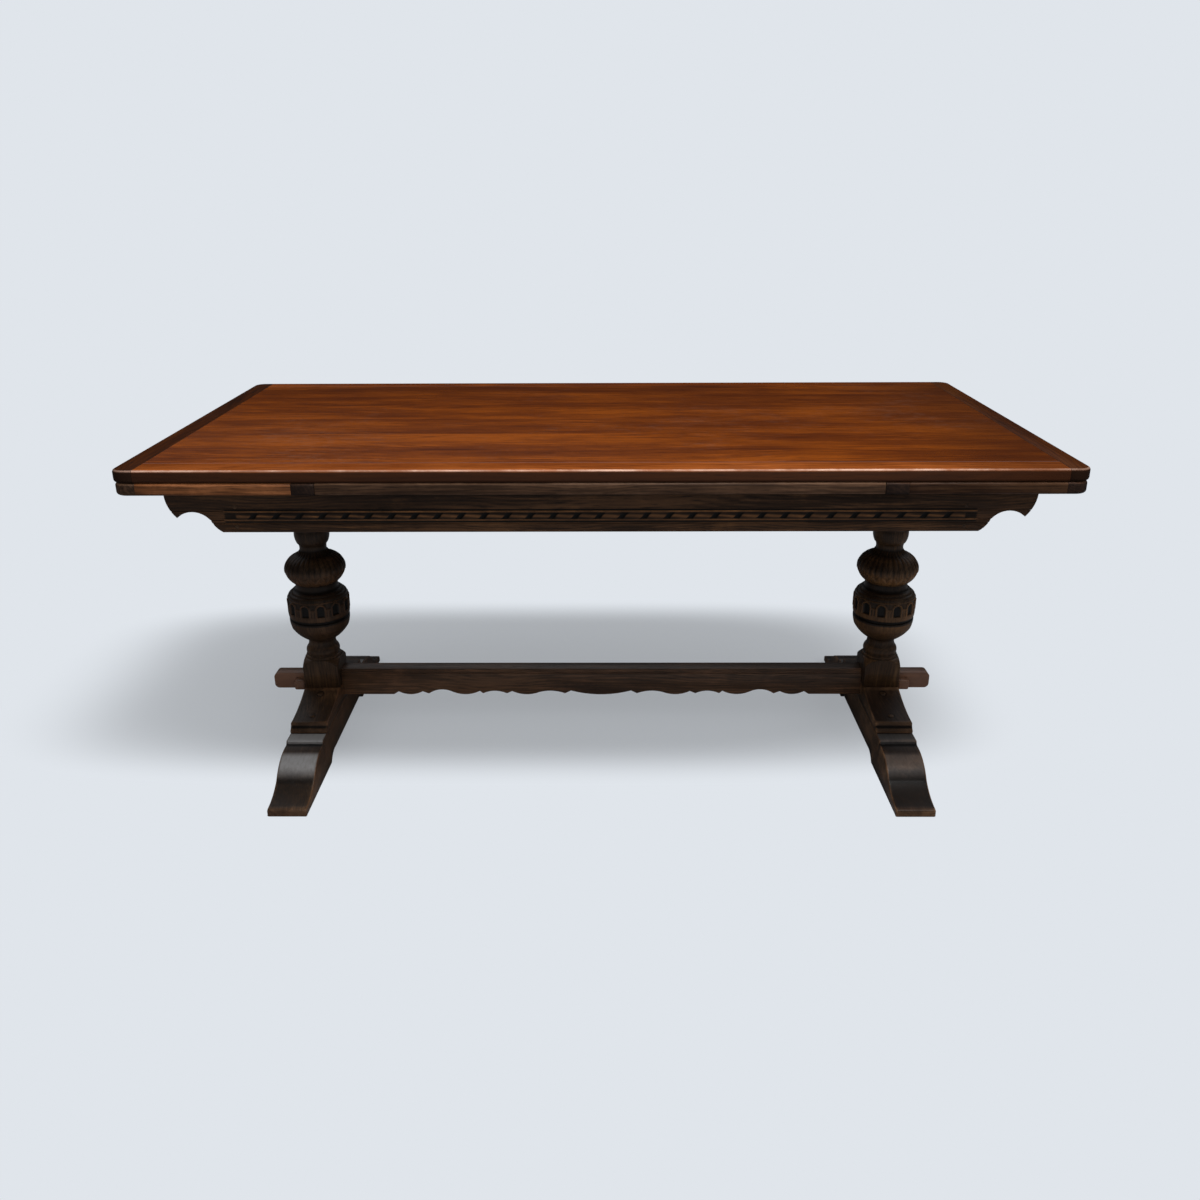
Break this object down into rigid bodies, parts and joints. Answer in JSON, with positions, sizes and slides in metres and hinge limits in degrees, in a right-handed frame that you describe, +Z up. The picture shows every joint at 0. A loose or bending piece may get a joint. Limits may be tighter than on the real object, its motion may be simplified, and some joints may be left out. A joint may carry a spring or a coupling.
{
  "type": "extending dining table",
  "caption": "Rectangular oak draw-leaf dining table: loose framed top over two sliding leaves, shaped aprons, cup-and-cover columns on sledge feet, wedged through stretcher.",
  "frame": {"origin": "On the floor plane, at the middle of the table's length and width.", "axes": "+X runs along the table's length towards its right end, +Y runs from its front edge to its back edge, +Z runs up."},
  "size_m": [1.84, 0.914, 0.79],
  "materials": {
    "oak_top": "satin",
    "oak_leaf": "satin",
    "oak_frame": "satin",
    "oak_inner": "matte",
    "screw_steel": "brushed"
  },
  "bodies": {
    "frame": {"sledge_foot_left": "oak_frame", "sledge_foot_right": "oak_frame", "foot_saddle_left": "oak_frame", "foot_saddle_right": "oak_frame", "saddle_pegs_left": "oak_frame", "saddle_pegs_right": "oak_frame", "turned_column_left": "oak_frame", "turned_column_right": "oak_frame", "tusk_wedge_left": "oak_frame", "tusk_wedge_right": "oak_frame", "top_bearer_left": "oak_inner", "top_bearer_right": "oak_inner", "end_rail_left": "oak_inner", "end_rail_right": "oak_inner", "stretcher": "oak_frame", "apron_front": "oak_frame", "apron_back": "oak_frame", "rail_pegs_front": "oak_frame", "rail_pegs_back": "oak_frame", "centre_rail": "oak_inner", "corner_blocks": "oak_inner", "centre_board": "oak_leaf", "board_screws": "screw_steel", "bearer_screws": "screw_steel"},
    "main_top": {"top_panel": "oak_top", "top_rail_front": "oak_top", "top_rail_back": "oak_top", "top_cleat_left": "oak_top", "top_cleat_right": "oak_top", "guide_block_left": "oak_inner", "guide_block_right": "oak_inner", "keeper_bar_left": "oak_inner", "keeper_bar_right": "oak_inner", "keeper_screws": "screw_steel"},
    "leaf_left": {"leaf_panel_left": "oak_leaf", "leaf_rail_front_left": "oak_leaf", "leaf_rail_back_left": "oak_leaf", "leaf_end_cleat_left": "oak_leaf", "leaf_inner_cleat_left": "oak_leaf", "loper_front_left": "oak_inner", "loper_back_left": "oak_inner", "loper_stops_left": "oak_inner", "loper_screws_left": "screw_steel"},
    "leaf_right": {"leaf_panel_right": "oak_leaf", "leaf_rail_front_right": "oak_leaf", "leaf_rail_back_right": "oak_leaf", "leaf_end_cleat_right": "oak_leaf", "leaf_inner_cleat_right": "oak_leaf", "loper_front_right": "oak_inner", "loper_back_right": "oak_inner", "loper_stops_right": "oak_inner", "loper_screws_right": "screw_steel"}
  },
  "joints": [
    {"name": "leaf_left_draw", "type": "slide", "parent": "frame", "child": "leaf_left", "axis": [-1, 0, 0], "range_m": [0, 0.38]},
    {"name": "leaf_right_draw", "type": "slide", "parent": "frame", "child": "leaf_right", "axis": [1, 0, 0], "range_m": [0, 0.38]},
    {"name": "top_lift", "type": "slide", "parent": "frame", "child": "main_top", "axis": [0, 0, 1], "range_m": [0, 0.03]}
  ]
}
